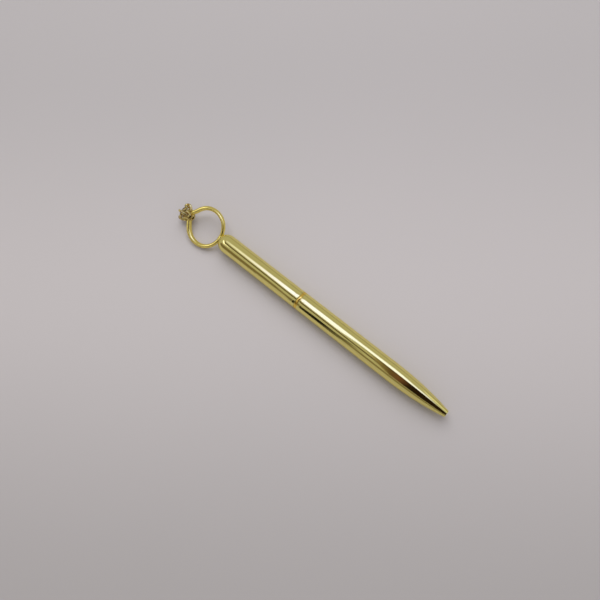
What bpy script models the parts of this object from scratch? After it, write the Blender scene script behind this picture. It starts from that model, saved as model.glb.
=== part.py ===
"""A slim twist-action ballpoint pen with a ring ornament on its top.

The pen lies along X with its nose at +X, resting on z = 0. Each profile below gives its stations
as distances from the upper barrel's top end, growing towards the nose, and its radii from the
pen's axis, both in millimetres. mm() turns them into metres. The ring is modelled flat, in its own
plane through the pen's axis, and that plane is rolled about the axis until its rim meets the floor.
"""

from math import asin, cos, degrees, pi, radians, sin, sqrt

import bmesh
import bpy
from mathutils import Matrix, Vector

MM = 0.001

# Driving dimensions, in millimetres
BARREL_R = 4.25
BARREL_WALL = 0.5
NOSE_END = 122.5
TAPER_START = 93.0
TAPER_POWER = 2.3
NOSE_END_R = 1.5
NOSE_EDGE = 0.2
NOSE_HOLE_R = 1.05
DOME_LENGTH = 4.0
DOME_FLAT_R = 2.0
UPPER_END = 45.5
BAND_WIDTH = 1.1
SEAM = 0.08

RING_R = 8.64
RING_CENTRE = -9.92
FOOT_SETBACK = 0.12
COLLAR_R = 1.22
COLLAR_BORE_R = 1.03
COLLAR_HALF = 1.1
RIM_REACH = 1.2
HEAD_TURN = radians(3)
SHANK_CLEARANCE = 0.05
CLAW_R = 0.5
CLAW_COUNT = 4
STONE_R = 2.6

TWIST_ANGLE = radians(180)
TIP_TRAVEL = 5.0
TUBE_R = 1.55
TUBE_BORE_R = 1.25
STEM_R = 0.95
BALL_R = 0.5
TIP_END = 120.5
CAM_R = 3.5
CAM_BORE_R = 3.08
BODY_R = 2.98
BODY_BORE_R = 2.3
SLEEVE_R = 3.66
PIN_R = 0.5
PIN_STATION = 22.5
SLOT_HALF = 0.65

SIDES = 40
SMALL_SIDES = 24

# Worked out from them
BORE_R = BARREL_R - BARREL_WALL
BAND_START = UPPER_END + SEAM
BAND_END = BAND_START + BAND_WIDTH
LOWER_START = BAND_END + SEAM
AXIS_Z = BARREL_R * cos(pi / SIDES)
CLAW_TIP = RING_CENTRE - 14.8
MIDDLE = (CLAW_TIP + NOSE_END) / 2
RING_ROLL = asin((AXIS_Z - RIM_REACH) / RING_R)

GOLD = (0.72, 0.62, 0.25)
BAND_GOLD = (0.75, 0.48, 0.14)
BRASS = (0.68, 0.52, 0.25)


def clear_scene():
    for obj in list(bpy.data.objects):
        bpy.data.objects.remove(obj, do_unlink=True)


def material(name, colour, roughness, metallic):
    made = bpy.data.materials.new(name)
    made.use_nodes = True
    shader = made.node_tree.nodes["Principled BSDF"]
    shader.inputs["Base Color"].default_value = (*colour, 1.0)
    shader.inputs["Roughness"].default_value = roughness
    shader.inputs["Metallic"].default_value = metallic
    return made


def empty(name, location, parent=None, roll=0.0):
    made = bpy.data.objects.new(name, None)
    made.empty_display_size = 4 * MM
    made.location = location
    made.rotation_euler = (roll, 0.0, 0.0)
    made.parent = parent
    bpy.context.collection.objects.link(made)
    return made


def add_object(name, mesh, parent, finish=None):
    made = bpy.data.objects.new(name, mesh)
    bpy.context.collection.objects.link(made)
    made.parent = parent
    if finish:
        mesh.materials.append(finish)
        mesh.shade_smooth()
        mesh.set_sharp_from_angle(angle=radians(35))
    return made


def finished_mesh(name, bm):
    bmesh.ops.remove_doubles(bm, verts=bm.verts, dist=1e-7)
    bmesh.ops.recalc_face_normals(bm, faces=bm.faces)
    mesh = bpy.data.meshes.new(name)
    bm.to_mesh(mesh)
    bm.free()
    return mesh


def mm(x, y, z):
    return Vector((x * MM, y * MM, z * MM))


def turned(name, profile, sides=SIDES):
    """A closed (station, radius) profile spun about the X axis, with a flat side at the bottom."""
    bm = bmesh.new()
    half_step = Matrix.Rotation(pi / sides, 3, "X")
    points = [bm.verts.new(half_step @ mm(x, 0.0, -r)) for x, r in profile]
    edges = [bm.edges.new((a, b)) for a, b in zip(points, points[1:] + points[:1])]
    bmesh.ops.spin(
        bm,
        geom=points + edges,
        cent=(0, 0, 0),
        axis=(1, 0, 0),
        angle=2 * pi,
        steps=sides,
        use_merge=True,
    )
    return finished_mesh(name, bm)


def tube_along(name, points, radii, sides, side_axis, closed=False, widths=None):
    """A wire through points in one plane, whose normal is side_axis. widths is its radius along that normal."""
    bm = bmesh.new()
    count = len(points)
    loops = []
    for i, point in enumerate(points):
        before = points[i - 1] if closed or i else points[0]
        after = points[(i + 1) % count] if closed or i < count - 1 else points[-1]
        across = (after - before).normalized().cross(side_axis)
        loop = []
        for k in range(sides):
            turn = 2 * pi * (k + 0.5) / sides
            offset = cos(turn) * across * radii[i] + sin(turn) * side_axis * (widths or radii)[i]
            loop.append(bm.verts.new(point + offset * MM))
        loops.append(loop)
    pairs = list(zip(loops, loops[1:]))
    if closed:
        pairs.append((loops[-1], loops[0]))
    for first, second in pairs:
        for k in range(sides):
            following = (k + 1) % sides
            bm.faces.new((first[k], first[following], second[following], second[k]))
    if not closed:
        bm.faces.new(loops[0])
        bm.faces.new(loops[-1])
    return finished_mesh(name, bm)


def block(name, low, high):
    bm = bmesh.new()
    size = mm(*high) - mm(*low)
    middle = (mm(*high) + mm(*low)) / 2
    bmesh.ops.create_cube(bm, size=1.0, matrix=Matrix.Translation(middle) @ Matrix.Diagonal((*size, 1.0)))
    return finished_mesh(name, bm)


def helper(name, mesh, parent):
    """A cutter or a joined shape: kept out of renders and drawn as wire."""
    made = add_object(name, mesh, parent)
    made.hide_render = True
    made.display_type = "WIRE"
    return made


def boolean(target, other, operation):
    modifier = target.modifiers.new(other.name, "BOOLEAN")
    modifier.object = other
    modifier.operation = operation
    modifier.solver = "EXACT"


def arc(x, r, width, height, start, end, steps):
    """Points of an elliptical arc about (x, r), by angles in degrees, 0 towards the nose."""
    turns = [radians(start + (end - start) * i / steps) for i in range(steps + 1)]
    return [(x + width * cos(turn), r + height * sin(turn)) for turn in turns]


def nose_radius(station):
    """The barrel's outer radius along the convex nose."""
    share = max(0.0, (station - TAPER_START) / (NOSE_END - TAPER_START))
    return NOSE_END_R + (BARREL_R - NOSE_END_R) * (1 - share**TAPER_POWER)


def steps_between(start, end, count):
    return [start + (end - start) * i / count for i in range(count + 1)]


# The two barrels and the band between them


def upper_barrel_mesh():
    stud_hole = 0.95
    inside_top = 3.2
    dome = arc(DOME_LENGTH, DOME_FLAT_R, DOME_LENGTH, BARREL_R - DOME_FLAT_R, 180, 90, 6)
    profile = [(0.0, stud_hole), *dome]
    profile += [(UPPER_END, BARREL_R), (UPPER_END, BORE_R)]
    profile += [(inside_top + 1.2, BORE_R), (inside_top, BORE_R - 0.9), (inside_top, stud_hole)]
    return turned("upper_barrel", profile)


def centre_band_mesh():
    bore = SLEEVE_R + SEAM
    profile = [(BAND_START, bore), (BAND_START, BARREL_R), (BAND_END, BARREL_R), (BAND_END, bore)]
    return turned("centre_band", profile)


GUIDE_SEAT_START = 109.0
GUIDE_SEAT_END = 117.6
GUIDE_SEAT_R = 1.95


def lower_barrel_mesh():
    edge_start = NOSE_END - NOSE_EDGE
    nose = [(x, nose_radius(x)) for x in steps_between(TAPER_START, edge_start, 10)]
    bore_follows = [(x, nose_radius(x) - BARREL_WALL) for x in (108.0, 104.0, 100.0, 95.0)]
    profile = [(LOWER_START, BARREL_R), *nose]
    profile += [(NOSE_END, NOSE_END_R - NOSE_EDGE), (NOSE_END, NOSE_HOLE_R)]
    profile += [(120.5, NOSE_HOLE_R), (GUIDE_SEAT_END, 1.4), (GUIDE_SEAT_END, GUIDE_SEAT_R)]
    profile += [(GUIDE_SEAT_START, GUIDE_SEAT_R), *bore_follows, (LOWER_START, BORE_R)]
    return turned("lower_barrel", profile)


def tip_guide_mesh():
    outside = GUIDE_SEAT_R - 0.07
    front = GUIDE_SEAT_END - 0.2
    step = front - 0.8
    profile = [(GUIDE_SEAT_START + 0.1, outside), (front, outside), (front, NOSE_HOLE_R)]
    profile += [(step, NOSE_HOLE_R), (step, TUBE_R + 0.11), (GUIDE_SEAT_START + 0.1, TUBE_R + 0.11)]
    return turned("tip_guide", profile, SMALL_SIDES)


# The twist mechanism

SLEEVE_START = 38.0
SLEEVE_END = 54.0
BODY_START = 15.0
BODY_END = 53.0
CAM_START = 15.15
CAM_END = 37.7
HOLDER_START = 20.0
HOLDER_END = 33.0


def coupling_sleeve_mesh():
    bore = BODY_R + 0.07
    profile = [(SLEEVE_START, bore), (SLEEVE_START, SLEEVE_R - 0.3), (SLEEVE_START + 0.3, SLEEVE_R)]
    profile += [(SLEEVE_END - 0.3, SLEEVE_R), (SLEEVE_END, SLEEVE_R - 0.3), (SLEEVE_END, bore)]
    return turned("coupling_sleeve", profile)


def mechanism_body_mesh():
    profile = [(BODY_START, BODY_BORE_R), (BODY_START, BODY_R), (BODY_END, BODY_R), (BODY_END, BODY_BORE_R)]
    return turned("mechanism_body", profile)


def straight_slot_mesh():
    low = (PIN_STATION - SLOT_HALF, -SLOT_HALF, BODY_BORE_R - 0.6)
    high = (PIN_STATION + TIP_TRAVEL + SLOT_HALF, SLOT_HALF, BODY_R + 0.6)
    return block("straight_slot_cutter", low, high)


def end_cap_mesh():
    flange_start = 13.4
    flange_end = BODY_START - 0.06
    spigot_r = BODY_BORE_R - 0.06
    profile = [(flange_start, 0.8), (flange_start, 3.1), (flange_start + 0.3, 3.4), (flange_end, 3.4)]
    profile += [(flange_end, spigot_r), (17.5, spigot_r), (17.5, 0.8)]
    return turned("mechanism_end_cap", profile)


GROOVE_START = 31.0
GROOVE_END = 32.4
GROOVE_R = 3.26


def cam_mesh():
    profile = [(CAM_START, CAM_BORE_R), (CAM_START, CAM_R), (GROOVE_START, CAM_R), (GROOVE_START, GROOVE_R)]
    profile += [(GROOVE_END, GROOVE_R), (GROOVE_END, CAM_R), (CAM_END, CAM_R), (CAM_END, CAM_BORE_R)]
    return turned("mechanism_cam", profile)


def helical_slot_mesh():
    """A ribbon through the cam's wall that moves the pin TIP_TRAVEL forward over TWIST_ANGLE."""
    mean_r = (CAM_R + CAM_BORE_R) / 2
    rise = TIP_TRAVEL / TWIST_ANGLE
    spare = SLOT_HALF / mean_r
    half_width = SLOT_HALF * sqrt(1 + (rise / mean_r) ** 2)
    count = 28
    bm = bmesh.new()
    sections = []
    for turn in steps_between(-spare, TWIST_ANGLE + spare, count):
        station = PIN_STATION + rise * turn
        around = Matrix.Rotation(-turn, 3, "X")
        corners = ((-1, CAM_BORE_R - 0.4), (1, CAM_BORE_R - 0.4), (1, CAM_R + 0.4), (-1, CAM_R + 0.4))
        section = [bm.verts.new(around @ mm(station + side * half_width, 0.0, r)) for side, r in corners]
        sections.append(section)
    for first, second in zip(sections, sections[1:]):
        for k in range(4):
            following = (k + 1) % 4
            bm.faces.new((first[k], first[following], second[following], second[k]))
    bm.faces.new(sections[0])
    bm.faces.new(sections[-1])
    return finished_mesh("helical_slot_cutter", bm)


def grip_ring_mesh():
    ring_r = (BORE_R + GROOVE_R) / 2
    thick = (BORE_R - GROOVE_R) / 2 - 0.05
    middle = (GROOVE_START + GROOVE_END) / 2
    return turned("grip_ring", arc(middle, ring_r, 0.55, thick, 0, 324, 9))


REFILL_START = 26.1


def refill_holder_mesh():
    outside = BODY_BORE_R - 0.1
    bore = TUBE_BORE_R + 0.1
    floor_at = REFILL_START - 0.3
    profile = [(HOLDER_START, 0.0), (HOLDER_START, outside - 0.4), (HOLDER_START + 0.4, outside)]
    profile += [(HOLDER_END, outside), (HOLDER_END, bore), (floor_at, bore), (floor_at, 0.0)]
    return turned("refill_holder", profile, SMALL_SIDES)


def upright_cylinder(name, radius, low, high, sides=16):
    """A cylinder across the pen at the pin's station, pointing up from the axis."""
    bm = bmesh.new()
    bmesh.ops.create_cone(
        bm,
        cap_ends=True,
        segments=sides,
        radius1=radius * MM,
        radius2=radius * MM,
        depth=(high - low) * MM,
        matrix=Matrix.Translation(mm(PIN_STATION, 0.0, (low + high) / 2)),
    )
    return finished_mesh(name, bm)


# The refill


def refill_plug_mesh():
    flange = HOLDER_END + 0.15
    tube_start = flange + 0.9
    thread_r = TUBE_BORE_R
    spigot_r = TUBE_BORE_R - 0.07
    profile = [(REFILL_START, 0.35), (REFILL_START, thread_r - 0.3), (REFILL_START + 0.3, thread_r)]
    profile += [(flange, thread_r), (flange, TUBE_R), (tube_start - 0.05, TUBE_R)]
    profile += [(tube_start - 0.05, spigot_r), (tube_start + 2.5, spigot_r), (tube_start + 2.5, 0.35)]
    return turned("refill_plug", profile, SMALL_SIDES)


TUBE_START = HOLDER_END + 1.05
TUBE_END = 110.0
INK_END = 104.7
INK_START = 62.0
FOLLOWER_START = 58.0


def refill_tube_mesh():
    profile = [(TUBE_START, TUBE_BORE_R), (TUBE_START, TUBE_R), (TUBE_END, TUBE_R), (TUBE_END, TUBE_BORE_R)]
    return turned("refill_tube", profile, SMALL_SIDES)


def ink_mesh(name, start, end):
    """A column that fills the tube, less the film of clearance at its wall."""
    radius = TUBE_BORE_R - 0.06
    return turned(name, [(start, 0.0), (start, radius), (end, radius), (end, 0.0)], SMALL_SIDES)


BALL_CENTRE = TIP_END - BALL_R


def refill_tip_mesh():
    feed = 0.35
    spigot_r = TUBE_BORE_R - 0.07
    socket = BALL_R + 0.04
    shoulder = TUBE_END + 0.06
    profile = [(TUBE_END - 5, feed), (TUBE_END - 5, spigot_r), (shoulder, spigot_r), (shoulder, TUBE_R - 0.05)]
    profile += [(shoulder + 0.3, TUBE_R - 0.05), (shoulder + 1.4, STEM_R), (118.2, STEM_R)]
    profile += [(BALL_CENTRE + 0.15, socket + 0.07), (BALL_CENTRE + 0.15, socket)]
    profile += [(BALL_CENTRE - BALL_R - 0.08, socket), (BALL_CENTRE - BALL_R - 0.08, feed)]
    return turned("refill_tip", profile, SMALL_SIDES)


def writing_ball_mesh():
    bm = bmesh.new()
    place = Matrix.Translation(mm(BALL_CENTRE, 0, 0))
    bmesh.ops.create_icosphere(bm, subdivisions=2, radius=BALL_R * MM, matrix=place)
    return finished_mesh("writing_ball", bm)


# The ring ornament, in the ring's own frame: origin at its centre, X towards the nose, Y in its plane


# The shank by its angle from the foot in degrees: (angle, centreline radius, half thickness, half width).
# One side is a little thicker and runs straight into the setting, the other dips before it.
FULL_SIDE = [(0, 8.76, 0.85, 0.9), (60, 8.64, 0.92, 1.15), (90, 8.5, 1.06, 1.24), (130, 8.43, 1.16, 1.36)]
FULL_SIDE += [(148, 8.47, 1.18, 1.4), (157, 8.66, 1.17, 1.4), (166, 9.0, 1.1, 1.35)]
LEAN_SIDE = [(0, 8.76, 0.85, 0.9), (50, 8.72, 0.9, 1.1), (90, 8.62, 0.95, 1.24), (125, 8.6, 0.98, 1.32)]
LEAN_SIDE += [(142, 8.52, 0.98, 1.34), (156, 8.52, 0.98, 1.34), (165, 8.98, 0.96, 1.3), (169, 9.3, 0.95, 1.3)]


def eased(share):
    return share * share * (3 - 2 * share)


def shank_at(turn):
    """The centreline radius, half thickness and half width of the shank at an angle from the foot."""
    stations = LEAN_SIDE if turn > 0 else FULL_SIDE
    angle = abs(degrees(turn))
    for (start, *low), (end, *high) in zip(stations, stations[1:]):
        if angle <= end:
            break
    share = eased(min(1.0, (angle - start) / (end - start)))
    return [a + (b - a) * share for a, b in zip(low, high)]


def ring_shank_mesh(name, grow=0.0):
    over = grow / RING_R
    turns = steps_between(-radians(FULL_SIDE[-1][0]) - over, radians(LEAN_SIDE[-1][0]) + over, 60)
    shapes = [shank_at(t) for t in turns]
    points = [mm(shape[0] * cos(t), shape[0] * sin(t), 0.0) for t, shape in zip(turns, shapes)]
    radii = [shape[1] + grow for shape in shapes]
    widths = [shape[2] + grow for shape in shapes]
    return tube_along(name, points, radii, 12, Vector((0, 0, 1)), widths=widths)


def saddle_post_mesh():
    """The post and the stud, down the pen's axis from the middle of the band."""
    foot = -RING_CENTRE
    profile = [(foot - 1.2, 0.0), (foot - 1.2, 1.0), (foot - 0.55, 1.15), (foot - 0.35, 1.7)]
    profile += [(foot - 0.06, 1.7), (foot - 0.06, 0.8), (foot + 7.5, 0.8), (foot + 7.5, 0.0)]
    return turned("saddle_post", profile, SMALL_SIDES)


def round_band_foot(name, radius, half_length, sides=16):
    """A short barrel shape round the foot of the band, along the ring's Y."""
    reach = RING_R + FOOT_SETBACK
    points = [mm(reach, y, 0.0) for y in (-half_length, -half_length * 0.8, half_length * 0.8, half_length)]
    return tube_along(name, points, [radius * 0.88, radius, radius, radius * 0.88], sides, Vector((0, 0, 1)))


def top_plug_mesh():
    outside = BORE_R - 0.07
    profile = [(4.5, 0.88), (4.5, outside), (9.0, outside), (9.0, 0.88)]
    return turned("top_plug", profile)


# How much further out each claw bends than the plainest one
CLAW_BULGES = (0.9, 0.0, 0.0, 0.2)


def head_base_mesh():
    """The foot of the setting, with the open hole that lets light in behind the stone."""
    profile = [(-10.0, 0.7), (-10.0, 2.2), (-9.5, 2.35), (-8.6, 2.15), (-7.95, 1.75), (-7.75, 1.3)]
    profile += [(-7.75, 0.7)]
    return turned("gem_setting", profile, SMALL_SIDES)


def claw_mesh(index):
    across = Matrix.Rotation(2 * pi * index / CLAW_COUNT, 3, "X")
    bulge = CLAW_BULGES[index]
    path = [(-9.4, 1.9), (-10.3, 2.35 + 0.3 * bulge), (-11.3, 2.85 + 0.75 * bulge), (-12.2, 3.2 + bulge)]
    path += [(-13.2, 3.3 + 0.75 * bulge), (-14.0, 3.1 + 0.25 * bulge), (-14.3, 2.7)]
    radii = [CLAW_R] * 5 + [CLAW_R * 0.95, CLAW_R * 0.8]
    points = [across @ mm(x, r, 0.0) for x, r in path]
    return tube_along(f"claw_{index}", points, radii, 8, across @ Vector((0, 0, 1)))


def cup_mesh():
    """The wall that closes the setting between the foot and the gallery, clear of the stone."""
    profile = [(-9.9, 1.5), (-9.9, 2.15), (-10.6, 2.75), (-12.0, 3.1), (-12.0, 2.6), (-10.9, 2.3)]
    return turned("setting_cup", profile, SMALL_SIDES)


def gallery_mesh():
    station, radius, wire = -12.3, 3.0, 0.42
    return turned("gallery", arc(station, radius, wire, wire, 0, 300, 5), 32)


def gem_mesh():
    girdle = -13.45
    profile = [(girdle + 1.95, 0.0), (girdle + 0.1, STONE_R), (girdle - 0.1, STONE_R)]
    profile += [(girdle - 0.8, 1.6), (girdle - 0.8, 0.0)]
    return turned("gem_stone", profile, 16)


def main():
    clear_scene()

    gold = material("polished_gold", GOLD, 0.12, 1.0)
    band_gold = material("band_gold", BAND_GOLD, 0.18, 1.0)
    cast_gold = material("cast_gold", GOLD, 0.2, 1.0)
    crystal = material("clear_crystal", (0.95, 0.95, 0.97), 0.02, 0.0)
    brass = material("brass", BRASS, 0.3, 1.0)
    white_plastic = material("white_plastic", (0.8, 0.8, 0.78), 0.4, 0.0)
    black_plastic = material("black_plastic", (0.03, 0.03, 0.03), 0.4, 0.0)
    rubber = material("black_rubber", (0.02, 0.02, 0.02), 0.8, 0.0)
    steel = material("steel", (0.6, 0.6, 0.6), 0.25, 1.0)
    ink = material("blue_black_ink", (0.01, 0.015, 0.08), 0.3, 0.0)
    grease = material("grease", (0.75, 0.7, 0.5), 0.5, 0.0)

    lower_axis = empty("lower_axis", mm(-MIDDLE, 0.0, 0.0) + Vector((0, 0, AXIS_Z * MM)))
    twist_axis = empty("twist_axis", (0, 0, 0), lower_axis)
    pull_axis = empty("pull_axis", (0, 0, 0), twist_axis)
    advance_axis = empty("advance_axis", (0, 0, 0), lower_axis)
    ring_frame = empty("ring_frame", mm(RING_CENTRE, 0, 0), pull_axis, RING_ROLL)
    head_frame = empty("head_frame", (0, 0, 0), ring_frame)
    head_frame.rotation_euler.z = HEAD_TURN

    add_object("lower_barrel", lower_barrel_mesh(), lower_axis, gold)
    add_object("centre_band", centre_band_mesh(), lower_axis, band_gold)
    add_object("tip_guide", tip_guide_mesh(), lower_axis, brass)
    add_object("coupling_sleeve", coupling_sleeve_mesh(), lower_axis, brass)
    add_object("mechanism_end_cap", end_cap_mesh(), lower_axis, black_plastic)
    body = add_object("mechanism_body", mechanism_body_mesh(), lower_axis, white_plastic)
    boolean(body, helper("straight_slot_cutter", straight_slot_mesh(), lower_axis), "DIFFERENCE")

    cam = add_object("mechanism_cam", cam_mesh(), twist_axis, brass)
    boolean(cam, helper("helical_slot_cutter", helical_slot_mesh(), twist_axis), "DIFFERENCE")
    add_object("grip_ring", grip_ring_mesh(), twist_axis, rubber)

    add_object("upper_barrel", upper_barrel_mesh(), pull_axis, gold)
    add_object("top_plug", top_plug_mesh(), pull_axis, white_plastic)

    holder = add_object("refill_holder", refill_holder_mesh(), advance_axis, black_plastic)
    pin_hole = upright_cylinder("pin_hole_cutter", PIN_R + 0.06, 0.5, 3.0)
    boolean(holder, helper("pin_hole_cutter", pin_hole, advance_axis), "DIFFERENCE")
    pin = upright_cylinder("cam_follower_pin", PIN_R, 0.6, CAM_R - 0.15)
    add_object("cam_follower_pin", pin, advance_axis, steel)
    add_object("refill_plug", refill_plug_mesh(), advance_axis, brass)
    add_object("refill_tube", refill_tube_mesh(), advance_axis, brass)
    add_object("ink_follower", ink_mesh("ink_follower", FOLLOWER_START, INK_START - 0.1), advance_axis, grease)
    add_object("ink_column", ink_mesh("ink_column", INK_START, INK_END), advance_axis, ink)
    add_object("refill_tip", refill_tip_mesh(), advance_axis, steel)
    add_object("writing_ball", writing_ball_mesh(), advance_axis, steel)

    add_object("ring_shank", ring_shank_mesh("ring_shank"), ring_frame, cast_gold)
    saddle = add_object("ring_saddle", saddle_post_mesh(), ring_frame, cast_gold)
    collar = round_band_foot("saddle_collar", COLLAR_R, COLLAR_HALF)
    boolean(saddle, helper("saddle_collar", collar, ring_frame), "UNION")
    bore = round_band_foot("saddle_bore_cutter", COLLAR_BORE_R, 2 * COLLAR_HALF)
    boolean(saddle, helper("saddle_bore_cutter", bore, ring_frame), "DIFFERENCE")
    setting = add_object("gem_setting", head_base_mesh(), head_frame, cast_gold)
    for index in range(CLAW_COUNT):
        boolean(setting, helper(f"claw_{index}", claw_mesh(index), head_frame), "UNION")
    boolean(setting, helper("setting_cup", cup_mesh(), head_frame), "UNION")
    boolean(setting, helper("gallery", gallery_mesh(), head_frame), "UNION")
    seat = ring_shank_mesh("shank_seat_cutter", SHANK_CLEARANCE)
    boolean(setting, helper("shank_seat_cutter", seat, ring_frame), "DIFFERENCE")
    add_object("gem_stone", gem_mesh(), head_frame, crystal)


main()
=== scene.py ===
from math import asin, cos, pi, radians, sin

import bmesh
import bpy
import numpy as np
from mathutils import Matrix, Vector

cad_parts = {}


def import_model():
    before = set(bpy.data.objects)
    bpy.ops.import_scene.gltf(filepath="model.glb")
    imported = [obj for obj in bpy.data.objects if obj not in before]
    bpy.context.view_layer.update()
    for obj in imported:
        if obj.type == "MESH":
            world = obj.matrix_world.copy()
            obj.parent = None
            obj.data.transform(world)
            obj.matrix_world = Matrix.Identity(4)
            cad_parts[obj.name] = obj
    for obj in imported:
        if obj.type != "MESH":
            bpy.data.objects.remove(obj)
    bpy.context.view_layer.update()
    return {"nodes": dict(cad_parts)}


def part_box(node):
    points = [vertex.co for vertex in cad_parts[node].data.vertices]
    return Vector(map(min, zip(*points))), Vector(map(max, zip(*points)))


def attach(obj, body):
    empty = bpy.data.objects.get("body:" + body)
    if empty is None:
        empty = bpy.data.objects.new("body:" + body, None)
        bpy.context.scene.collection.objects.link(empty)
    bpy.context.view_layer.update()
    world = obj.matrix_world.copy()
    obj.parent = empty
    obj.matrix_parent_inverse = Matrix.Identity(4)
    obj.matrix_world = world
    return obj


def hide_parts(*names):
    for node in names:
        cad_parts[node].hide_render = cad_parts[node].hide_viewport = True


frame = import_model()

# Stations are distances from the upper barrel's top end towards the nose, and radii are from the
# pen's axis, both in millimetres. The frame gives where the axis and the stations are.
MM = 0.001
TOP_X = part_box("upper_barrel")[0].x
AXIS_Z = (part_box("upper_barrel")[0].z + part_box("upper_barrel")[1].z) / 2
BARREL_R = AXIS_Z / MM
BARREL_BORE = 3.74
EDGE_ROUNDING = 0.12
UPPER_END = (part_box("upper_barrel")[1].x - TOP_X) / MM
BAND_START = (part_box("centre_band")[0].x - TOP_X) / MM
BAND_END = (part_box("centre_band")[1].x - TOP_X) / MM
LOWER_START = (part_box("lower_barrel")[0].x - TOP_X) / MM
NOSE_END = (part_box("lower_barrel")[1].x - TOP_X) / MM
TAPER_START = 93.0
TAPER_POWER = 2.3
NOSE_END_R = 1.5
NOSE_HOLE_R = 1.05
NOSE_WALL = 0.5
GUIDE_BORE = 1.95
GUIDE_START = 109.0
GUIDE_END = 117.6
DOME_LENGTH = 4.0
DOME_FLAT_R = 2.0
STUD_HOLE_R = 0.95

# The ring lies in its own X-Y plane. It is rolled about the pen's axis until its rim, RIM_REACH
# thick there, touches the floor, and its setting is turned a little round it.
RING_R = 8.64
RING_CENTRE = -9.92
RIM_REACH = 1.2
RING_ROLL = asin((BARREL_R - RIM_REACH) / RING_R)
HEAD_TURN = radians(3)

SIDES = 128
TINY = 1e-6
PEN = Matrix.Translation((TOP_X, 0.0, AXIS_Z))
RING = PEN @ Matrix.Translation((RING_CENTRE * MM, 0, 0)) @ Matrix.Rotation(RING_ROLL, 4, "X")
HEAD = RING @ Matrix.Rotation(HEAD_TURN, 4, "Z")


# Building shapes


def mm(x, y, z):
    return Vector((x * MM, y * MM, z * MM))


def new_object(mesh):
    made = bpy.data.objects.new(mesh.name, mesh)
    bpy.context.scene.collection.objects.link(made)
    return made


def finished_mesh(name, bm, sharp=35):
    bmesh.ops.remove_doubles(bm, verts=bm.verts, dist=1e-7)
    bmesh.ops.recalc_face_normals(bm, faces=bm.faces)
    mesh = bpy.data.meshes.new(name)
    bm.to_mesh(mesh)
    bm.free()
    if sharp:
        mesh.shade_smooth()
        mesh.set_sharp_from_angle(angle=radians(sharp))
    return mesh


def turned_mesh(name, profile, place=PEN, sides=SIDES, sharp=35):
    """A closed (station, radius) profile turned about the X axis."""
    bm = bmesh.new()
    rows = []
    for x, r in profile:
        if r < TINY:
            rows.append([bm.verts.new(place @ mm(x, 0, 0))] * sides)
            continue
        turns = [2 * pi * k / sides for k in range(sides)]
        rows.append([bm.verts.new(place @ mm(x, r * cos(t), r * sin(t))) for t in turns])
    for first, second in zip(rows, rows[1:] + rows[:1]):
        for k in range(sides):
            after = (k + 1) % sides
            corners = list(dict.fromkeys((first[k], first[after], second[after], second[k])))
            if len(corners) > 2:
                bm.faces.new(corners)
    return finished_mesh(name, bm, sharp)


def rounded(profile, radius, steps=4):
    """The closed profile with each corner that turns more than 20 degrees eased by a small curve."""
    points = [Vector(p) for p in profile]
    made = []
    for i, point in enumerate(points):
        before = points[i - 1] - point
        after = points[(i + 1) % len(points)] - point
        if before.length < TINY or after.length < TINY:
            made.append(point)
            continue
        bend = pi - before.angle(after)
        if bend < radians(20) or point.y < TINY:
            made.append(point)
            continue
        reach = min(radius, before.length * 0.45, after.length * 0.45)
        start = point + before.normalized() * reach
        end = point + after.normalized() * reach
        for k in range(steps + 1):
            t = k / steps
            made.append(start * (1 - t) ** 2 + point * 2 * t * (1 - t) + end * t * t)
    return [tuple(p) for p in made]


def arc(x, r, width, height, start, end, steps):
    """Points of an elliptical arc about (x, r), by angles in degrees, 0 towards the nose."""
    turns = [radians(start + (end - start) * i / steps) for i in range(steps + 1)]
    return [(x + width * cos(t), r + height * sin(t)) for t in turns]


def between(start, end, count):
    return [start + (end - start) * i / count for i in range(count + 1)]


def smooth_path(points, per_span=5):
    """A Catmull-Rom curve through the points."""
    vectors = [Vector(p) for p in points]
    ends = [2 * vectors[0] - vectors[1], *vectors, 2 * vectors[-1] - vectors[-2]]
    made = []
    for i in range(len(vectors) - 1):
        a, b, c, d = ends[i : i + 4]
        for k in range(per_span):
            t = k / per_span
            squared = 2 * a - 5 * b + 4 * c - d
            cubed = 3 * b - a - 3 * c + d
            made.append(0.5 * (2 * b + (c - a) * t + squared * t**2 + cubed * t**3))
    made.append(vectors[-1])
    return made


def add_tube(bm, points, radii, place, sides, widths=None):
    """A wire through points in the X-Y plane, with rounded ends. widths is its radius along Z."""
    widths = widths or radii
    side_axis = Vector((0, 0, 1))
    count = len(points)
    loops = []
    for i, point in enumerate(points):
        before = points[max(i - 1, 0)]
        after = points[min(i + 1, count - 1)]
        across = (after - before).normalized().cross(side_axis).normalized()
        loop = []
        for k in range(sides):
            turn = 2 * pi * k / sides
            offset = cos(turn) * across * radii[i] + sin(turn) * side_axis * widths[i]
            loop.append(bm.verts.new(place @ (point + offset * MM)))
        loops.append(loop)
    rotation = place.to_3x3()
    first_end = (loops[0], points[0] - points[1], radii[0])
    last_end = (loops[-1], points[-1] - points[-2], radii[-1])
    for first, second in zip(loops, loops[1:]):
        for k in range(sides):
            after = (k + 1) % sides
            bm.faces.new((first[k], first[after], second[after], second[k]))
    for loop, outward, radius in (first_end, last_end):
        centre = sum((v.co for v in loop), Vector()) / sides
        bulge = (rotation @ outward).normalized() * radius * MM
        previous = loop
        for turn in (pi / 8, pi / 4, pi * 3 / 8):
            cap = [bm.verts.new(centre + (v.co - centre) * cos(turn) + bulge * sin(turn)) for v in loop]
            for m in range(sides):
                after = (m + 1) % sides
                bm.faces.new((previous[m], previous[after], cap[after], cap[m]))
            previous = cap
        apex = bm.verts.new(centre + bulge)
        for m in range(sides):
            bm.faces.new((previous[m], previous[(m + 1) % sides], apex))


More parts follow.
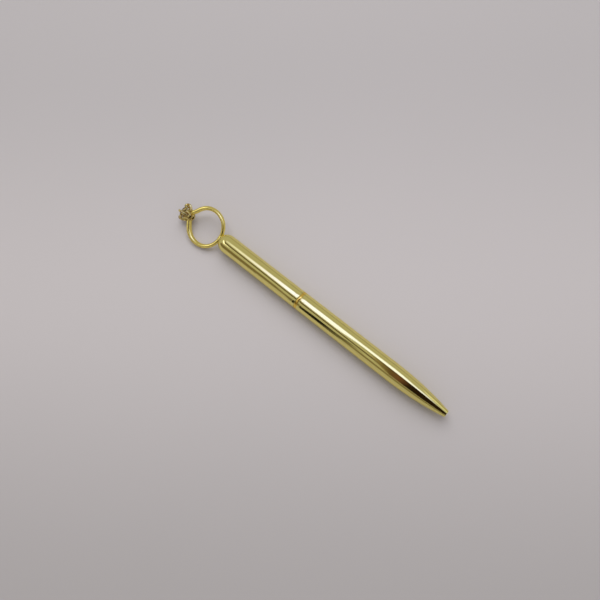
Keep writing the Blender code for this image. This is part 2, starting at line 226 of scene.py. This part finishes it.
def fused(name, bm, voxel, smooth_times):
    """Overlapping shapes in one mesh melted into one cast body with soft fillets."""
    made = new_object(finished_mesh(name, bm, sharp=0))
    remesh = made.modifiers.new("fuse", "REMESH")
    remesh.mode = "VOXEL"
    remesh.voxel_size = voxel * MM
    smooth = made.modifiers.new("soften", "SMOOTH")
    smooth.factor = 0.5
    smooth.iterations = smooth_times
    graph = bpy.context.evaluated_depsgraph_get()
    graph.update()
    mesh = bpy.data.meshes.new_from_object(made.evaluated_get(graph))
    made.modifiers.clear()
    made.data = mesh
    mesh.shade_smooth()
    return made


# Materials


def principled(name):
    made = bpy.data.materials.new(name)
    made.use_nodes = True
    nodes = made.node_tree.nodes
    return made, nodes, made.node_tree.links, nodes["Principled BSDF"]


POLISH_LINES = (400, 4000, 4000)
TURNING_LINES = (6000, 300, 300)
CAST_GRAIN = (1500, 1500, 1500)
GOLD_EDGE = (1, 0.96, 0.72)
WHITE_EDGE = (1, 1, 1)


def metal(
    name, colour, deeper, roughness, spread,
    grain=POLISH_LINES, scratch=0.03, edge=GOLD_EDGE, patches=260, contrast=1,
):
    """Polished metal: cloudy changes of colour and roughness, and fine lines or grain.

    patches is how fine the clouds are, and contrast how hard their edges are.
    """
    made, nodes, links, shader = principled(name)
    where = nodes.new("ShaderNodeTexCoord")
    cloud = nodes.new("ShaderNodeTexNoise")
    cloud.inputs["Scale"].default_value = patches
    cloud.inputs["Detail"].default_value = 5
    links.new(where.outputs["Object"], cloud.inputs["Vector"])
    tint = nodes.new("ShaderNodeMix")
    tint.data_type = "RGBA"
    tint.inputs["A"].default_value = (*colour, 1)
    tint.inputs["B"].default_value = (*deeper, 1)
    spots = nodes.new("ShaderNodeMapRange")
    spots.inputs["From Min"].default_value = 0.5 - 0.5 / contrast
    spots.inputs["From Max"].default_value = 0.5 + 0.5 / contrast
    links.new(cloud.outputs["Fac"], spots.inputs["Value"])
    links.new(spots.outputs["Result"], tint.inputs["Factor"])
    links.new(tint.outputs["Result"], shader.inputs["Base Color"])
    rough = nodes.new("ShaderNodeMapRange")
    rough.inputs["To Min"].default_value = roughness
    rough.inputs["To Max"].default_value = roughness + spread
    links.new(cloud.outputs["Fac"], rough.inputs["Value"])
    links.new(rough.outputs["Result"], shader.inputs["Roughness"])
    stretch = nodes.new("ShaderNodeMapping")
    stretch.inputs["Scale"].default_value = grain
    lines = nodes.new("ShaderNodeTexNoise")
    lines.inputs["Scale"].default_value = 1.0
    lines.inputs["Detail"].default_value = 3
    links.new(where.outputs["Object"], stretch.inputs["Vector"])
    links.new(stretch.outputs["Vector"], lines.inputs["Vector"])
    bump = nodes.new("ShaderNodeBump")
    bump.inputs["Strength"].default_value = scratch
    bump.inputs["Distance"].default_value = 0.00001
    links.new(lines.outputs["Fac"], bump.inputs["Height"])
    links.new(bump.outputs["Normal"], shader.inputs["Normal"])
    shader.inputs["Metallic"].default_value = 1.0
    shader.inputs["Specular Tint"].default_value = (*edge, 1)
    return made


def moulded(name, colour, roughness, scale=1500, depth=0.05):
    """Plastic or rubber with a fine moulded texture and slight colour variation."""
    made, nodes, links, shader = principled(name)
    where = nodes.new("ShaderNodeTexCoord")
    grain = nodes.new("ShaderNodeTexNoise")
    grain.inputs["Scale"].default_value = scale
    grain.inputs["Detail"].default_value = 4
    links.new(where.outputs["Object"], grain.inputs["Vector"])
    tint = nodes.new("ShaderNodeMix")
    tint.data_type = "RGBA"
    tint.inputs["A"].default_value = (*colour, 1)
    tint.inputs["B"].default_value = (*(c * 0.8 for c in colour), 1)
    links.new(grain.outputs["Fac"], tint.inputs["Factor"])
    links.new(tint.outputs["Result"], shader.inputs["Base Color"])
    bump = nodes.new("ShaderNodeBump")
    bump.inputs["Strength"].default_value = depth
    bump.inputs["Distance"].default_value = 0.00002
    links.new(grain.outputs["Fac"], bump.inputs["Height"])
    links.new(bump.outputs["Normal"], shader.inputs["Normal"])
    shader.inputs["Roughness"].default_value = roughness
    return made


GOLD = metal("polished_gold", (0.90, 0.81, 0.29), (0.84, 0.735, 0.24), 0.05, 0.05)
CAST_GOLD = metal("cast_gold", (0.99, 0.84, 0.25), (0.86, 0.70, 0.17), 0.1, 0.1, CAST_GRAIN, 0.08)
SETTING_GOLD = metal(
    "setting_gold", (1.0, 0.90, 0.38), (0.34, 0.19, 0.03), 0.08, 0.15,
    CAST_GRAIN, 0.1, patches=900, contrast=4,
)
BAND_GOLD = metal("band_gold", (0.97, 0.70, 0.15), (0.92, 0.62, 0.11), 0.08, 0.06)
BRASS = metal("brass", (0.75, 0.55, 0.24), (0.62, 0.43, 0.17), 0.22, 0.12, TURNING_LINES, 0.15)
STEEL = metal("steel", (0.62, 0.61, 0.60), (0.52, 0.51, 0.50), 0.18, 0.1, TURNING_LINES, 0.12, WHITE_EDGE)
WHITE_PLASTIC = moulded("white_plastic", (0.78, 0.77, 0.72), 0.38)
BLACK_PLASTIC = moulded("black_plastic", (0.025, 0.025, 0.027), 0.35)
RUBBER = moulded("black_rubber", (0.02, 0.02, 0.02), 0.75, scale=3000, depth=0.15)
INK = moulded("ink", (0.012, 0.02, 0.1), 0.15)
GREASE = moulded("grease", (0.7, 0.64, 0.42), 0.3)


def crystal_material():
    made, nodes, links, shader = principled("clear_crystal")
    # The warm tint is a painted reflection of the gold setting that the clear stone would pick up
    shader.inputs["Base Color"].default_value = (0.97, 0.91, 0.78, 1)
    shader.inputs["Transmission Weight"].default_value = 1.0
    shader.inputs["IOR"].default_value = 2.0
    where = nodes.new("ShaderNodeTexCoord")
    haze = nodes.new("ShaderNodeTexNoise")
    haze.inputs["Scale"].default_value = 900
    spread = nodes.new("ShaderNodeMapRange")
    spread.inputs["To Min"].default_value = 0.0
    spread.inputs["To Max"].default_value = 0.03
    links.new(where.outputs["Object"], haze.inputs["Vector"])
    links.new(haze.outputs["Fac"], spread.inputs["Value"])
    links.new(spread.outputs["Result"], shader.inputs["Roughness"])
    return made


CRYSTAL = crystal_material()


def piece(obj, material, body, stands_for):
    obj.data.materials.clear()
    obj.data.materials.append(material)
    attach(obj, body)
    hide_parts(stands_for)


# The barrels


def nose_radius(station):
    """The convex nose's outer radius, which is the barrel's where the taper hasn't started."""
    share = max(0.0, (station - TAPER_START) / (NOSE_END - TAPER_START))
    return NOSE_END_R + (BARREL_R - NOSE_END_R) * (1 - share**TAPER_POWER)


def upper_barrel():
    dome = arc(DOME_LENGTH, DOME_FLAT_R, DOME_LENGTH, BARREL_R - DOME_FLAT_R, 180, 90, 24)
    mouth = [(UPPER_END - 2, BARREL_R), (UPPER_END, BARREL_R), (UPPER_END, BARREL_BORE)]
    profile = [(0.0, STUD_HOLE_R), *dome, *((s, BARREL_R) for s in between(8, 40, 8))]
    profile += rounded(mouth, EDGE_ROUNDING)[1:]
    profile += [(4.4, BARREL_BORE), (3.2, BARREL_BORE - 0.9), (3.2, STUD_HOLE_R)]
    shell = new_object(turned_mesh("upper_barrel_shell", profile))
    piece(shell, GOLD, "upper", "upper_barrel")


def lower_barrel():
    edge = 0.2
    mouth = [(LOWER_START, BARREL_BORE), (LOWER_START, BARREL_R), (LOWER_START + 2, BARREL_R)]
    nose = [(s, nose_radius(s)) for s in between(TAPER_START - 2, NOSE_END - edge, 48)]
    tip_r = nose_radius(NOSE_END - edge)
    lip = arc(NOSE_END - edge, tip_r - edge, edge, edge, 80, 0, 5)
    inside = [(s, nose_radius(s) - NOSE_WALL) for s in between(GUIDE_START - 1, 95, 8)]
    profile = [(LOWER_START, BARREL_BORE), *rounded(mouth, EDGE_ROUNDING)[1:-1]]
    profile += [*((s, BARREL_R) for s in between(55, 85, 6)), *nose, *lip]
    profile += [(NOSE_END, NOSE_HOLE_R + 0.05), (NOSE_END - 0.06, NOSE_HOLE_R)]
    profile += [(120.5, NOSE_HOLE_R), (GUIDE_END, 1.4), (GUIDE_END, GUIDE_BORE)]
    profile += [(GUIDE_START, GUIDE_BORE), *inside]
    shell = new_object(turned_mesh("lower_barrel_shell", profile))
    piece(shell, GOLD, "lower", "lower_barrel")


def centre_band():
    swell = 0.1
    edge_r = BARREL_R - swell
    middle = (BAND_START + BAND_END) / 2
    half_width = (BAND_END - BAND_START) / 2
    profile = [(BAND_START, BARREL_BORE), (BAND_START, edge_r)]
    profile += arc(middle, edge_r, half_width, swell, 180, 0, 12)[1:]
    profile += [(BAND_END, BARREL_BORE)]
    band = new_object(turned_mesh("centre_band_ring", profile))
    piece(band, BAND_GOLD, "lower", "centre_band")


upper_barrel()
lower_barrel()
centre_band()


# The ring and its setting


# The shank by its angle from the foot: (degrees, centreline radius, half thickness, half width).
# The side with negative angles is a little thicker, the other dips before the setting.
SHANK = [(-166, 9.0, 1.1, 1.35), (-157, 8.66, 1.17, 1.4), (-148, 8.47, 1.18, 1.4), (-130, 8.43, 1.16, 1.36)]
SHANK += [(-90, 8.485, 1.055, 1.2), (-60, 8.64, 0.92, 1.15), (0, 8.76, 0.85, 0.9), (50, 8.72, 0.9, 1.1)]
SHANK += [(90, 8.61, 0.94, 1.19), (125, 8.6, 0.98, 1.32), (142, 8.52, 0.98, 1.34), (156, 8.52, 0.98, 1.34)]
SHANK += [(165, 8.98, 0.96, 1.3), (169, 9.3, 0.95, 1.3)]
SHANK_ENDS = (radians(SHANK[0][0]), radians(SHANK[-1][0]))


def shank_at(turn):
    """Centreline radius, half thickness and half width at an angle, eased over 7 degrees each way."""
    angles, *columns = np.array(SHANK).T
    near = np.degrees(turn) + np.linspace(-7, 7, 15)
    weights = np.cos(np.linspace(-pi / 2, pi / 2, 17))[1:-1]
    return [float(np.average(np.interp(near, angles, column), weights=weights)) for column in columns]


def ring_shank():
    turns = between(*SHANK_ENDS, 200)
    reaches, thicknesses, widths = zip(*(shank_at(t) for t in turns))
    points = [mm(reach * cos(t), reach * sin(t), 0.0) for t, reach in zip(turns, reaches)]
    bm = bmesh.new()
    add_tube(bm, points, thicknesses, RING, 40, widths)
    shank = new_object(finished_mesh("ring_band", bm, sharp=60))
    piece(shank, CAST_GOLD, "upper", "ring_shank")


# How much further out each claw bends than the plainest one, and from what bend a web backs it
CLAW_BULGES = (0.9, 0.0, 0.0, 0.2)
WEB_FROM_BULGE = 0.5
CLAW_R = 0.57
CLAW_TIP_R = 0.5
WEB_R = 0.55
GALLERY_R = 3.0
GALLERY_WIRE_R = 0.42
BEAD_COUNT = 13
BEAD_R = 0.4
BEAD_ROWS = ((-9.25, 2.3), (-10.3, 2.65), (-11.2, 2.9))


def add_claw(bm, bulge, place):
    path = [(-9.4, 1.9), (-10.3, 2.35 + 0.3 * bulge), (-11.3, 2.85 + 0.75 * bulge)]
    path += [(-12.2, 3.2 + bulge), (-13.2, 3.3 + 0.75 * bulge), (-13.95, 3.1 + 0.25 * bulge)]
    path += [(-14.15, 2.75)]
    points = smooth_path([mm(x, r, 0.0) for x, r in path])
    shares = [i / (len(points) - 1) for i in range(len(points))]
    radii = [float(np.interp(share, (0.8, 1), (CLAW_R, CLAW_TIP_R))) for share in shares]
    add_tube(bm, points, radii, place, 16)
    if bulge > WEB_FROM_BULGE:
        web = smooth_path([mm(-11.0, 2.9, 0.0), mm(-12.2, 3.5, 0.0), mm(-13.3, 3.45, 0.0)])
        add_tube(bm, web, [WEB_R] * len(web), place, 16)


def setting():
    """A cast head: base, cup and gallery ring with rows of beads, and four claws round them."""
    base = [(-10.0, 0.7), (-10.0, 2.2), (-9.5, 2.35), (-8.6, 2.15), (-7.95, 1.75), (-7.75, 1.3)]
    base += [(-7.75, 0.7)]
    cup = [(-9.9, 1.5), (-9.9, 2.15), (-10.6, 2.65), (-11.4, 2.85), (-11.4, 2.45), (-10.9, 2.3)]
    gallery = arc(-12.3, GALLERY_R, GALLERY_WIRE_R, GALLERY_WIRE_R, 0, 330, 11)
    bm = bmesh.new()
    bm.from_mesh(turned_mesh("base", base, HEAD, 48, 0))
    bm.from_mesh(turned_mesh("cup", cup, HEAD, 64, 0))
    bm.from_mesh(turned_mesh("gallery", gallery, HEAD, 64, 0))
    for k in range(BEAD_COUNT):
        around = HEAD @ Matrix.Rotation(2 * pi * (k + 0.5) / BEAD_COUNT, 4, "X")
        for x, r in BEAD_ROWS:
            place = around @ Matrix.Translation(mm(x, r, 0.0))
            bmesh.ops.create_icosphere(bm, subdivisions=2, radius=BEAD_R * MM, matrix=place)
    for index, bulge in enumerate(CLAW_BULGES):
        add_claw(bm, bulge, HEAD @ Matrix.Rotation(2 * pi * index / len(CLAW_BULGES), 4, "X"))
    made = fused("claw_setting", bm, 0.06, 2)
    piece(made, SETTING_GOLD, "upper", "gem_setting")


COLLAR_REACH = 8.83
COLLAR_HALF = 1.08
COLLAR_R = 1.1
POST_R = 1.7
STUD_R = 0.8
STUD_LENGTH = 7.5
DOME_GAP = 0.06


def saddle():
    """The ring's foot: a collar round the band, a post on the dome and a stud down into the pen."""
    dome_top = -RING_CENTRE
    underside = dome_top - DOME_GAP
    stud_end = dome_top + STUD_LENGTH
    post = [(dome_top - 1.2, 0.0), (dome_top - 1.2, 1.0), (dome_top - 0.55, 1.15)]
    post += [(dome_top - 0.35, POST_R), (underside, POST_R), (underside, STUD_R)]
    post += [(stud_end, STUD_R), (stud_end, 0.0)]
    half_collar = [(COLLAR_HALF, 0.0), (COLLAR_HALF, 0.95), (0.85, COLLAR_R)]
    collar = [(-x, r) for x, r in half_collar] + half_collar[::-1]
    along_band = RING @ Matrix.Translation(mm(COLLAR_REACH, 0, 0)) @ Matrix.Rotation(pi / 2, 4, "Z")
    bm = bmesh.new()
    bm.from_mesh(turned_mesh("post", post, RING, 48, 0))
    bm.from_mesh(turned_mesh("collar", collar, along_band, 48, 0))
    made = fused("ring_foot", bm, 0.05, 3)
    piece(made, CAST_GOLD, "upper", "ring_saddle")


def gem():
    """A round brilliant: octagonal table, star, kite and girdle facets above, main facets below."""
    girdle = -13.45
    stone_r = 2.58
    table_r, table_x = 1.55, girdle - 0.78
    kite_r, kite_x = 2.12, girdle - 0.45
    girdle_up, girdle_low = girdle - 0.08, girdle + 0.08
    lower_r, lower_x = 1.15, girdle + 1.1
    culet_x = girdle + 1.92
    bm = bmesh.new()

    def ring_of(x, r, count, offset):
        turns = [2 * pi * (k + offset) / count for k in range(count)]
        return [bm.verts.new(HEAD @ mm(x, r * cos(t), r * sin(t))) for t in turns]

    table = ring_of(table_x, table_r, 8, 0.0)
    kites = ring_of(kite_x, kite_r, 8, 0.5)
    top = ring_of(girdle_up, stone_r, 16, 0.0)
    bottom = ring_of(girdle_low, stone_r, 16, 0.0)
    mains = ring_of(lower_x, lower_r, 8, 0.0)
    culet = bm.verts.new(HEAD @ mm(culet_x, 0, 0))
    bm.faces.new(table)
    for k in range(8):
        after = (k + 1) % 8
        bm.faces.new((table[k], table[after], kites[k]))
        bm.faces.new((table[k], kites[k], top[2 * k], kites[k - 1]))
        bm.faces.new((kites[k], top[2 * k], top[2 * k + 1]))
        bm.faces.new((kites[k], top[2 * k + 1], top[(2 * k + 2) % 16]))
        bm.faces.new((bottom[2 * k], mains[k], bottom[2 * k + 1]))
        bm.faces.new((bottom[2 * k + 1], mains[k], mains[after]))
        bm.faces.new((bottom[2 * k + 1], mains[after], bottom[(2 * k + 2) % 16]))
        bm.faces.new((mains[k], culet, mains[after]))
    for k in range(16):
        after = (k + 1) % 16
        bm.faces.new((top[k], top[after], bottom[after], bottom[k]))
    stone = new_object(finished_mesh("brilliant_stone", bm, sharp=0))
    piece(stone, CRYSTAL, "upper", "gem_stone")


ring_shank()
setting()
saddle()
gem()


# CAD pieces that keep their shape and get a finish

FINISHES = {
    "top_plug": WHITE_PLASTIC,
    "coupling_sleeve": BRASS,
    "tip_guide": BRASS,
    "mechanism_body": WHITE_PLASTIC,
    "mechanism_end_cap": BLACK_PLASTIC,
    "mechanism_cam": BRASS,
    "grip_ring": RUBBER,
    "refill_holder": BLACK_PLASTIC,
    "cam_follower_pin": STEEL,
    "refill_plug": BRASS,
    "refill_tube": BRASS,
    "ink_follower": GREASE,
    "ink_column": INK,
    "refill_tip": STEEL,
    "writing_ball": STEEL,
}
for node, finish in FINISHES.items():
    obj = frame["nodes"][node]
    obj.data.materials.clear()
    obj.data.materials.append(finish)


# Floor, light and camera

RIG = 1.4
FLOOR_HALF = 3.0
FLOOR_DROP = 0.00002
# How far the floor's painted band of light reaches either side of its middle, and how it is turned
SHADE_REACH = 0.13
SHADE_TURN = radians(-38)


def floor():
    """A pale table with a painted band of light along its middle, a little lighter there than SHADE_REACH
    away on either side, where painted shade falls.
    """
    bm = bmesh.new()
    bmesh.ops.create_grid(bm, x_segments=2, y_segments=2, size=FLOOR_HALF)
    made = new_object(finished_mesh("table_top", bm, sharp=0))
    made.location.z = -FLOOR_DROP
    paint, nodes, links, shader = principled("pale_table")
    where = nodes.new("ShaderNodeTexCoord")
    cloud = nodes.new("ShaderNodeTexNoise")
    cloud.inputs["Scale"].default_value = 9
    cloud.inputs["Detail"].default_value = 6
    tint = nodes.new("ShaderNodeMix")
    tint.data_type = "RGBA"
    tint.inputs["A"].default_value = (0.56, 0.535, 0.525, 1)
    tint.inputs["B"].default_value = (0.54, 0.52, 0.51, 1)
    links.new(where.outputs["Object"], cloud.inputs["Vector"])
    links.new(cloud.outputs["Fac"], tint.inputs["Factor"])
    turn = nodes.new("ShaderNodeMapping")
    turn.inputs["Rotation"].default_value = (0, 0, SHADE_TURN)
    split = nodes.new("ShaderNodeSeparateXYZ")
    share = nodes.new("ShaderNodeMapRange")
    share.inputs["From Min"].default_value = -SHADE_REACH
    share.inputs["From Max"].default_value = SHADE_REACH
    # Painted light: this ramp lightens the table's colour in a band and darkens it on either side
    painted_light_band = nodes.new("ShaderNodeValToRGB")
    painted_light_band.color_ramp.interpolation = "EASE"
    painted_light_band.color_ramp.elements[0].color = (0.88, 0.87, 0.89, 1)
    painted_light_band.color_ramp.elements[1].color = (0.93, 0.92, 0.95, 1)
    middle = painted_light_band.color_ramp.elements.new(0.5)
    middle.color = (1.10, 1.08, 1.11, 1)
    lit_table_colour = nodes.new("ShaderNodeMix")
    lit_table_colour.data_type = "RGBA"
    lit_table_colour.blend_type = "MULTIPLY"
    lit_table_colour.inputs["Factor"].default_value = 1.0
    links.new(where.outputs["Object"], turn.inputs["Vector"])
    links.new(turn.outputs["Vector"], split.inputs["Vector"])
    links.new(split.outputs["Y"], share.inputs["Value"])
    links.new(share.outputs["Result"], painted_light_band.inputs["Fac"])
    links.new(tint.outputs["Result"], lit_table_colour.inputs["A"])
    links.new(painted_light_band.outputs["Color"], lit_table_colour.inputs["B"])
    links.new(lit_table_colour.outputs["Result"], shader.inputs["Base Color"])
    shader.inputs["Roughness"].default_value = 0.6
    shader.inputs["Specular IOR Level"].default_value = 0.2
    made.data.materials.append(paint)


def softbox(name, centre, aim, size, radiance):
    """A square light that is not seen in reflections: the cards below stand for its face."""
    lamp = bpy.data.lights.new(name, "AREA")
    lamp.shape = "SQUARE"
    lamp.size = size
    lamp.energy = radiance * pi * size * size
    made = bpy.data.objects.new(name, lamp)
    made.location = centre
    made.rotation_euler = (Vector(aim) - Vector(centre)).to_track_quat("-Z", "Y").to_euler()
    made.visible_glossy = False
    bpy.context.scene.collection.objects.link(made)


def card(name, corners, colour=None, ramp=None):
    """A glowing studio card, no lamp, that only shows in reflections as a painted reflection: one colour,
    or (x, colour) stops along X.
    """
    bm = bmesh.new()
    bm.faces.new([bm.verts.new(c) for c in corners])
    made = new_object(finished_mesh(name, bm, sharp=0))
    paint = bpy.data.materials.new(name)
    paint.use_nodes = True
    nodes, links = paint.node_tree.nodes, paint.node_tree.links
    nodes.clear()
    glow = nodes.new("ShaderNodeEmission")
    output = nodes.new("ShaderNodeOutputMaterial")
    links.new(glow.outputs["Emission"], output.inputs["Surface"])
    if colour:
        glow.inputs["Color"].default_value = (*colour, 1)
    else:
        where = nodes.new("ShaderNodeTexCoord")
        split = nodes.new("ShaderNodeSeparateXYZ")
        share = nodes.new("ShaderNodeMapRange")
        share.inputs["From Min"].default_value = ramp[0][0]
        share.inputs["From Max"].default_value = ramp[-1][0]
        stops = nodes.new("ShaderNodeValToRGB")
        for i, (x, tone) in enumerate(ramp):
            place = (x - ramp[0][0]) / (ramp[-1][0] - ramp[0][0])
            stop = stops.color_ramp.elements[i] if i < 2 else stops.color_ramp.elements.new(place)
            stop.position = place
            stop.color = (*tone, 1)
        links.new(where.outputs["Object"], split.inputs["Vector"])
        links.new(split.outputs["X"], share.inputs["Value"])
        links.new(share.outputs["Result"], stops.inputs["Fac"])
        links.new(stops.outputs["Color"], glow.inputs["Color"])
    made.data.materials.append(paint)
    made.visible_camera = False
    made.visible_diffuse = False
    made.visible_shadow = False
    made.visible_transmission = False


def level_card(name, outline, height, colour=None, ramp=None):
    card(name, [(x, y, height) for x, y in outline], colour, ramp)


def wall_card(name, across, y, upright, colour):
    (left, right), (low, high) = across, upright
    card(name, [(left, y, low), (right, y, low), (right, y, high), (left, y, high)], colour)


def world():
    sky = bpy.data.worlds.new("room")
    bpy.context.scene.world = sky
    sky.use_nodes = True
    back = sky.node_tree.nodes["Background"]
    back.inputs["Color"].default_value = (0.46, 0.447, 0.435, 1)
    back.inputs["Strength"].default_value = 1.0


def camera():
    position = Vector((0.05875, -0.0400, 0.2527))
    target = Vector((-0.00419, 0.00078, 0.0))
    roll = radians(-18.1)
    data = bpy.data.cameras.new("photo_view")
    data.lens = 36.0
    data.sensor_width = 36.0
    data.clip_start = 0.01
    made = bpy.data.objects.new("photo_view", data)
    made.matrix_world = (
        Matrix.Translation(position)
        @ (target - position).to_track_quat("-Z", "Y").to_matrix().to_4x4()
        @ Matrix.Rotation(roll, 4, "Z")
    )
    bpy.context.scene.collection.objects.link(made)
    bpy.context.scene.camera = made


# The softbox's face as the barrels show it: a glowing card that paints its highlight, with a pale blue cast
# that falls off at both ends
FACE = [(-0.72, 0.12), (-0.38, -0.20), (-0.20, -0.20), (-0.14, 0.26), (0.8, 0.26), (0.8, 0.9)]
FACE += [(0.3, 0.74), (0.1, 1.0), (0.0, 1.08), (-0.35, 0.76), (-0.72, 0.50)]
FACE_RAMP = [(-0.75, (0.55, 0.57, 0.75)), (-0.60, (0.92, 0.94, 1.3)), (-0.38, (1.25, 1.35, 3.3))]
FACE_RAMP += [(-0.28, (1.22, 1.33, 2.9)), (-0.12, (1.15, 1.26, 2.4)), (0.12, (1.15, 1.26, 2.5))]
FACE_RAMP += [(0.38, (1.0, 1.08, 2.2)), (0.64, (0.5, 0.52, 0.62))]
# A painted highlight: a glowing card to one side with no lamp behind it, seen only in reflections
SIDE_HIGHLIGHT = [(-0.74, -0.96), (-0.74, -0.76), (-1.15, -0.05), (-1.60, 0.05), (-1.60, -0.50)]
SIDE_HIGHLIGHT += [(-1.10, -0.98)]
# A paler painted reflection beyond the softbox, seen on the nose
RIM_FACE = [(0.5, 1.1), (1.2, 1.1), (1.2, 2.2), (0.5, 2.2)]

# Dark shapes, painted reflections, hang a little below the softboxes, so that they hide them
DARK_RIG = RIG - 0.02
SHADE = [(-0.085, -1.9), (2.0, -1.9), (2.0, 0.24), (-0.085, 0.24)]
SHADE_RAMP = [(-0.09, (0.30, 0.24, 0.16)), (-0.03, (0.12, 0.08, 0.05)), (0.08, (0.16, 0.075, 0.055))]
SHADE_RAMP += [(0.22, (0.02, 0.011, 0.006)), (2.0, (0.02, 0.011, 0.006))]
ARM = [(-0.9, -0.30), (-0.42, -0.84), (-0.085, -0.84), (-0.085, -0.48), (-0.40, -0.48), (-0.9, 0.02)]

floor()
world()
softbox("key_light", (-0.31, 0.395, 0.75), (0.0, 0.0, 0.0), 0.9, 2.05)
level_card("softbox_face", FACE, RIG, ramp=FACE_RAMP)
level_card("side_painted_highlight", SIDE_HIGHLIGHT, RIG, (1.75, 1.75, 2.3))
level_card("rim_card", RIM_FACE, RIG, (0.8, 0.8, 0.8))
level_card("camera_painted_reflection", SHADE, DARK_RIG, ramp=SHADE_RAMP)
level_card("arm_painted_reflection", ARM, DARK_RIG, (0.10, 0.075, 0.045))
# Painted reflections of a darker room round the table: dark glowing cards seen only in reflections
wall_card("far_shelf_reflection", (-0.50, 2.0), -1.4, (0.30, 0.86), (0.20, 0.165, 0.12))
wall_card("far_curtain_reflection", (-2.0, -0.50), -1.4, (0.10, 1.10), (0.19, 0.155, 0.11))
wall_card("far_box_reflection", (-0.36, -0.25), -1.38, (0.04, 1.0), (0.01, 0.009, 0.007))
wall_card("far_case_reflection", (-0.25, -0.19), -1.38, (0.04, 1.5), (0.11, 0.10, 0.08))
wall_card("far_wall_reflection", (-2.5, 2.5), 1.6, (0.0, 0.40), (0.36, 0.34, 0.31))
camera()
bpy.context.scene.view_settings.view_transform = "Standard"
